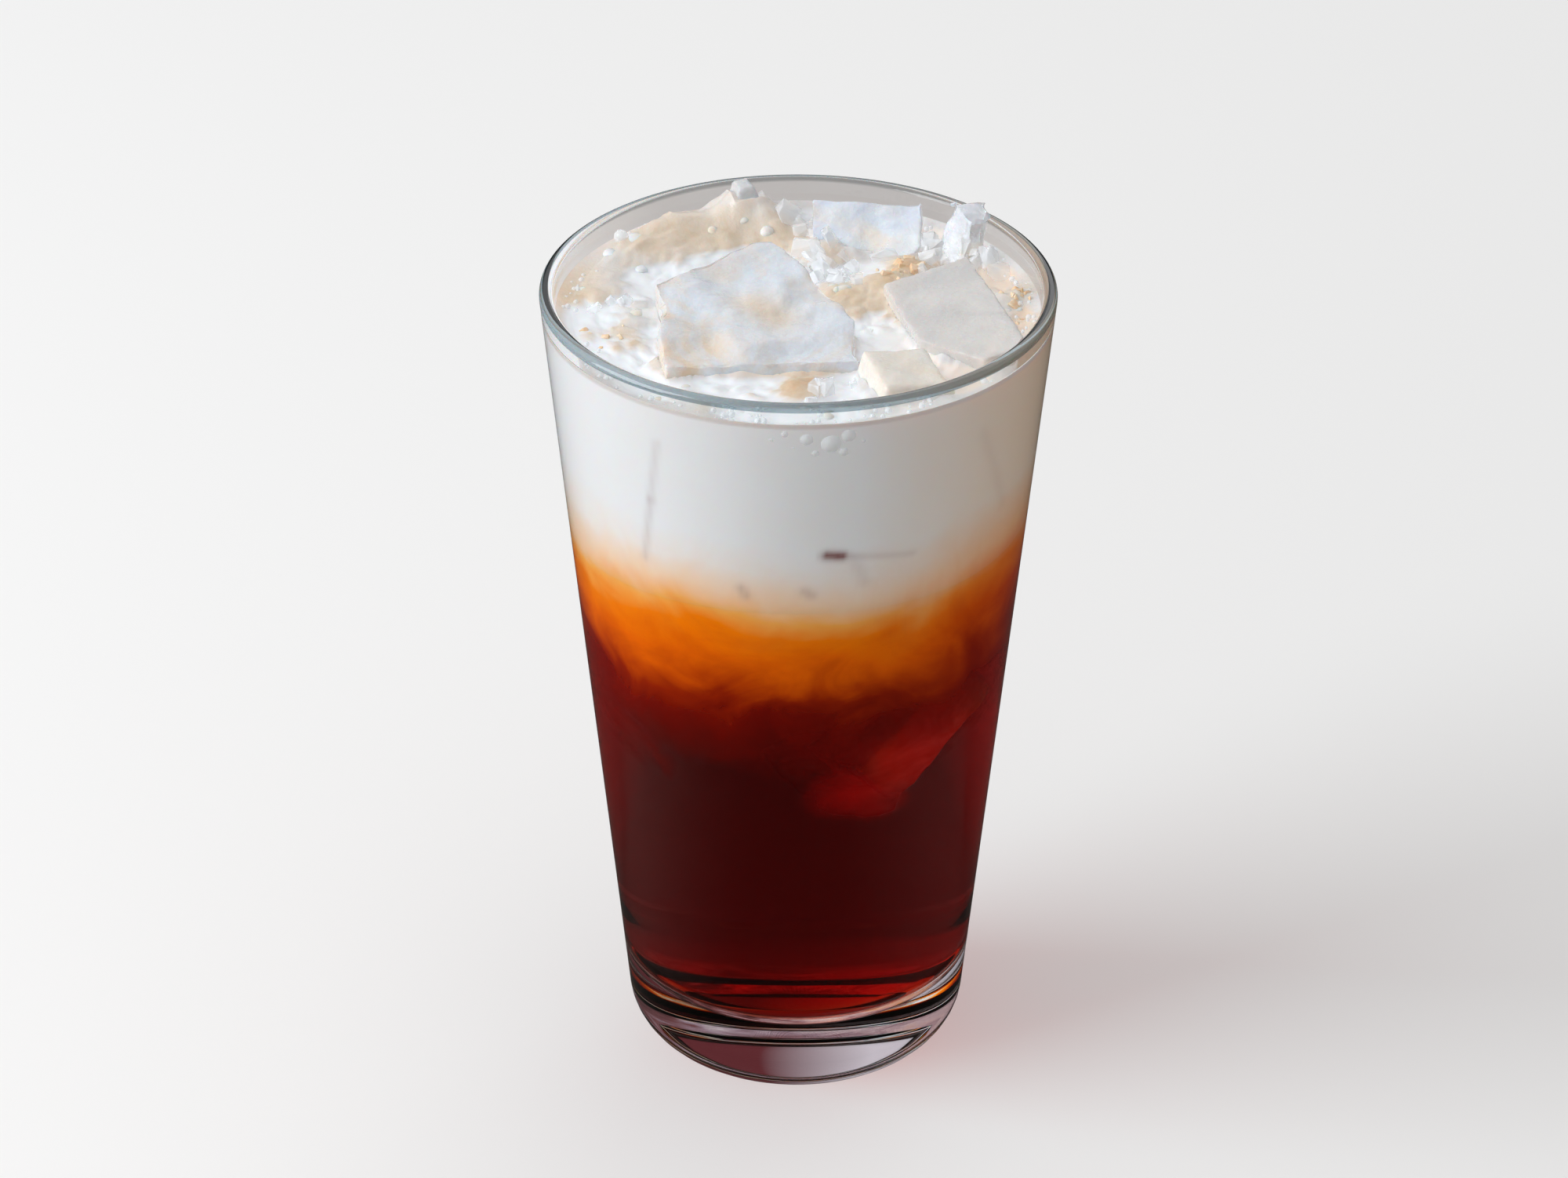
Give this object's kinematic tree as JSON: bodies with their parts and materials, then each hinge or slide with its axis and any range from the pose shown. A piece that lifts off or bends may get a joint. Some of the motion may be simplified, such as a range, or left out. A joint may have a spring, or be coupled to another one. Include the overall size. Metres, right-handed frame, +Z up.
{
  "type": "iced milk tea in a glass",
  "caption": "Tapered clear glass of layered iced tea: dark tea, an orange mixed layer and milk on top, with pieces of ice poking out. Stands on its foot.",
  "frame": {"origin": "centre of the glass's foot, on the table", "axes": "+Z up along the glass's axis; -Y is the front, the side the picture is taken from; +X to its right"},
  "size_m": [0.0886, 0.0886, 0.1539],
  "materials": {
    "glass": "clear, polished",
    "tea": "clear dark red-brown liquid",
    "tea_milk_mix": "cloudy orange liquid",
    "milk": "opaque white liquid with a bubbly top",
    "ice": "frosted, milky"
  },
  "bodies": {
    "root": {"glass": "glass", "tea": "tea", "tea_milk_mix": "tea_milk_mix", "milk": "milk", "ice_front_left": "ice", "ice_right": "ice", "ice_back_middle": "ice", "ice_back_left": "ice", "ice_back_right": "ice", "ice_front_right": "ice"}
  },
  "joints": []
}
